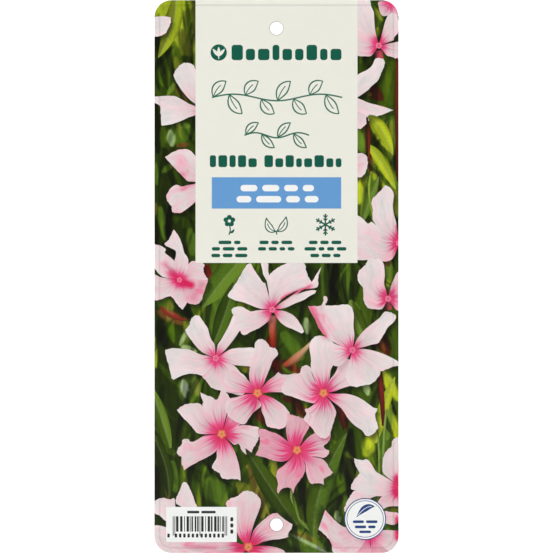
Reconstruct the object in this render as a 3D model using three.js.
// A hanging plant label: a rounded card of polypropylene sheet with a punched hole near each end
// and its print on the front. Each printed field is a thin skin of its own, laid on the sheet or
// let into the field around it, so that it can be recoloured or replaced by itself.
//
// Millimetres, +Z up. The card stands upright in the plane y = 0, its front faces -Y and +X is to
// the right of somebody who looks at the front. The origin is the centre of the upper punched
// hole, which the card hangs by, so almost all of the card is below z = 0.

import * as THREE from 'three';

// ---- driving dimensions -------------------------------------------------------------------

const CARD_WIDTH = 99;
const CARD_HEIGHT = 224;
const CARD_THICKNESS = 0.5; // sheet and print together
const PRINT_DEPTH = 0.125; // the skins' share of that thickness
const CORNER_RADIUS = 7;

const HOLE_DIAMETER = 5;
const HOLE_INSET = 11.5; // from the card's end to the middle of the hole

const PANEL_WIDTH = 65.6; // the pale field for the name, down from the card's top edge
const PANEL_HEIGHT = 106.5;

const HEADING_DROP = 21.3; // from the card's top edge to the middle of the heading
const HEADING_EMBLEM_DIAMETER = 6;
const HEADING_BAR_SIZE = [43.5, 5];
const HEADING_WIDTH = 52.7;

const NAME_DROP = 65.3; // to the middle of the two name bars
const NAME_BAR_HEIGHT = 4.4;
const NAME_BAR_WIDTHS = [18.4, 31.2];
const NAME_WIDTH = 53.3;

const BAND_SIZE = [52.4, 12.7]; // the blue field under the name
const BAND_DROP = 78.15;

const PATCH_SIZE = [28.6, 14.1]; // the white field for the bar code
const PATCH_CENTRE_X = -30.4;
const PATCH_LIFT = 11.55; // from the card's lower edge to the middle of the patch

const BADGE_DIAMETER = 16.8;
const BADGE_CENTRE_X = 35.9;
const BADGE_LIFT = 13.8; // from the card's lower edge to the middle of the badge

const CORNER_STEPS = 16; // straight steps in a quarter turn of the card's corner
const CIRCLE_STEPS = 48; // straight steps round a hole or a disc
const BAR_END_STEPS = 12; // straight steps round the end of a bar

// ---- places that follow from them ---------------------------------------------------------

const TOP_Z = HOLE_INSET;
const BOTTOM_Z = TOP_Z - CARD_HEIGHT;
const LOWER_HOLE_Z = BOTTOM_Z + HOLE_INSET;

const BACK_Y = CARD_THICKNESS / 2;
const FRONT_Y = -CARD_THICKNESS / 2;
const PRINT_BACK_Y = FRONT_Y + PRINT_DEPTH; // where the sheet ends and the print begins

const PANEL_LEFT = -PANEL_WIDTH / 2;
const PANEL_RIGHT = PANEL_WIDTH / 2;
const PANEL_BOTTOM_Z = TOP_Z - PANEL_HEIGHT;

// ---- outlines, as lists of points that run anticlockwise seen from the front ---------------

/** The points of an arc about (x, z), from one angle to another, both ends included. */
function arc(x, z, radius, from, to, steps) {
  return Array.from({ length: steps + 1 }, (_, i) => {
    const angle = from + ((to - from) * i) / steps;
    return new THREE.Vector2(x + radius * Math.cos(angle), z + radius * Math.sin(angle));
  });
}

function circle(x, z, diameter) {
  return arc(x, z, diameter / 2, 0, 2 * Math.PI, CIRCLE_STEPS).slice(0, -1);
}

/** A rectangle about (x, z). */
function rectangle(x, z, width, height) {
  const [right, up] = [width / 2, height / 2];
  return [[-right, -up], [right, -up], [right, up], [-right, up]].map(
    ([dx, dz]) => new THREE.Vector2(x + dx, z + dz),
  );
}

/** A bar about (x, z) with half-round ends. */
function bar(x, z, width, height) {
  const reach = (width - height) / 2;
  return [
    ...arc(x + reach, z, height / 2, -Math.PI / 2, Math.PI / 2, BAR_END_STEPS),
    ...arc(x - reach, z, height / 2, Math.PI / 2, (3 * Math.PI) / 2, BAR_END_STEPS),
  ];
}

/** One rounded corner of the card: side is -1 or 1 for left or right, end is -1 or 1 for foot or head. */
function cardCorner(side, end, from) {
  const x = side * (CARD_WIDTH / 2 - CORNER_RADIUS);
  const z = end > 0 ? TOP_Z - CORNER_RADIUS : BOTTOM_Z + CORNER_RADIUS;
  return arc(x, z, CORNER_RADIUS, from, from + Math.PI / 2, CORNER_STEPS);
}

const footCorners = () => [
  ...cardCorner(-1, -1, Math.PI),
  ...cardCorner(1, -1, (3 * Math.PI) / 2),
];

const cardOutline = () => [
  ...footCorners(),
  ...cardCorner(1, 1, 0),
  ...cardCorner(-1, 1, Math.PI / 2),
];

/** The card's outline less the panel, which takes the middle of its upper end. */
const pictureOutline = () => [
  ...footCorners(),
  ...cardCorner(1, 1, 0),
  new THREE.Vector2(PANEL_RIGHT, TOP_Z),
  new THREE.Vector2(PANEL_RIGHT, PANEL_BOTTOM_Z),
  new THREE.Vector2(PANEL_LEFT, PANEL_BOTTOM_Z),
  new THREE.Vector2(PANEL_LEFT, TOP_Z),
  ...cardCorner(-1, 1, Math.PI / 2),
];

const upperHole = () => circle(0, 0, HOLE_DIAMETER);
const lowerHole = () => circle(0, LOWER_HOLE_Z, HOLE_DIAMETER);

// ---- the printed fields that are let into the ones around them -----------------------------

const headingZ = TOP_Z - HEADING_DROP;
const emblem = circle(
  (HEADING_EMBLEM_DIAMETER - HEADING_WIDTH) / 2, headingZ, HEADING_EMBLEM_DIAMETER,
);
const headingBar = bar((HEADING_WIDTH - HEADING_BAR_SIZE[0]) / 2, headingZ, ...HEADING_BAR_SIZE);

const nameZ = TOP_Z - NAME_DROP;
const nameBars = NAME_BAR_WIDTHS.map((width, i) =>
  bar(((i ? 1 : -1) * (NAME_WIDTH - width)) / 2, nameZ, width, NAME_BAR_HEIGHT),
);

const band = rectangle(0, TOP_Z - BAND_DROP, ...BAND_SIZE);
const patch = rectangle(PATCH_CENTRE_X, BOTTOM_Z + PATCH_LIFT, ...PATCH_SIZE);
const badge = circle(BADGE_CENTRE_X, BOTTOM_Z + BADGE_LIFT, BADGE_DIAMETER);

// ---- solids --------------------------------------------------------------------------------

/**
 * A plate with the given outline and windows, between two depths. The extrusion runs along the
 * shape's own z, which is turned to point at -Y, and the shape's own y to point up.
 */
function plate(name, outline, windows, frontY, backY, finish) {
  const shape = new THREE.Shape(outline);
  shape.holes = windows.map((points) => new THREE.Path(points));
  const geometry = new THREE.ExtrudeGeometry(shape, { depth: 1, bevelEnabled: false });

  const position = geometry.attributes.position;
  for (let i = 0; i < position.count; i += 1) {
    const depth = position.getZ(i) > 0.5 ? frontY : backY;
    position.setXYZ(i, position.getX(i), depth, position.getY(i));
  }
  geometry.computeVertexNormals();

  const mesh = new THREE.Mesh(geometry, new THREE.MeshStandardMaterial(finish));
  mesh.name = name;
  return mesh;
}

const printed = (name, outline, windows, color) =>
  plate(name, outline, windows, FRONT_Y, PRINT_BACK_Y, { color, roughness: 0.38, metalness: 0 });

// ---- the label -----------------------------------------------------------------------------

const label = new THREE.Group();

label.add(
  plate('card_sheet', cardOutline(), [upperHole(), lowerHole()], PRINT_BACK_Y, BACK_Y, {
    color: '#f1f2ea', roughness: 0.45, metalness: 0,
  }),
  printed('picture_print', pictureOutline(), [lowerHole(), patch, badge], '#5f7a3c'),
  printed('info_panel', rectangle(0, (TOP_Z + PANEL_BOTTOM_Z) / 2, PANEL_WIDTH, PANEL_HEIGHT),
    [upperHole(), emblem, headingBar, ...nameBars, band], '#ebecdf'),
  printed('heading_emblem', emblem, [], '#0f5a47'),
  printed('heading_bar', headingBar, [], '#0f5a47'),
  ...nameBars.map((outline, i) => printed(`name_bar_${i + 1}`, outline, [], '#14604b')),
  printed('message_band', band, [], '#649bd6'),
  printed('barcode_patch', patch, [], '#fbfbf9'),
  printed('badge_disc', badge, [], '#f7f7f7'),
);

export default label;
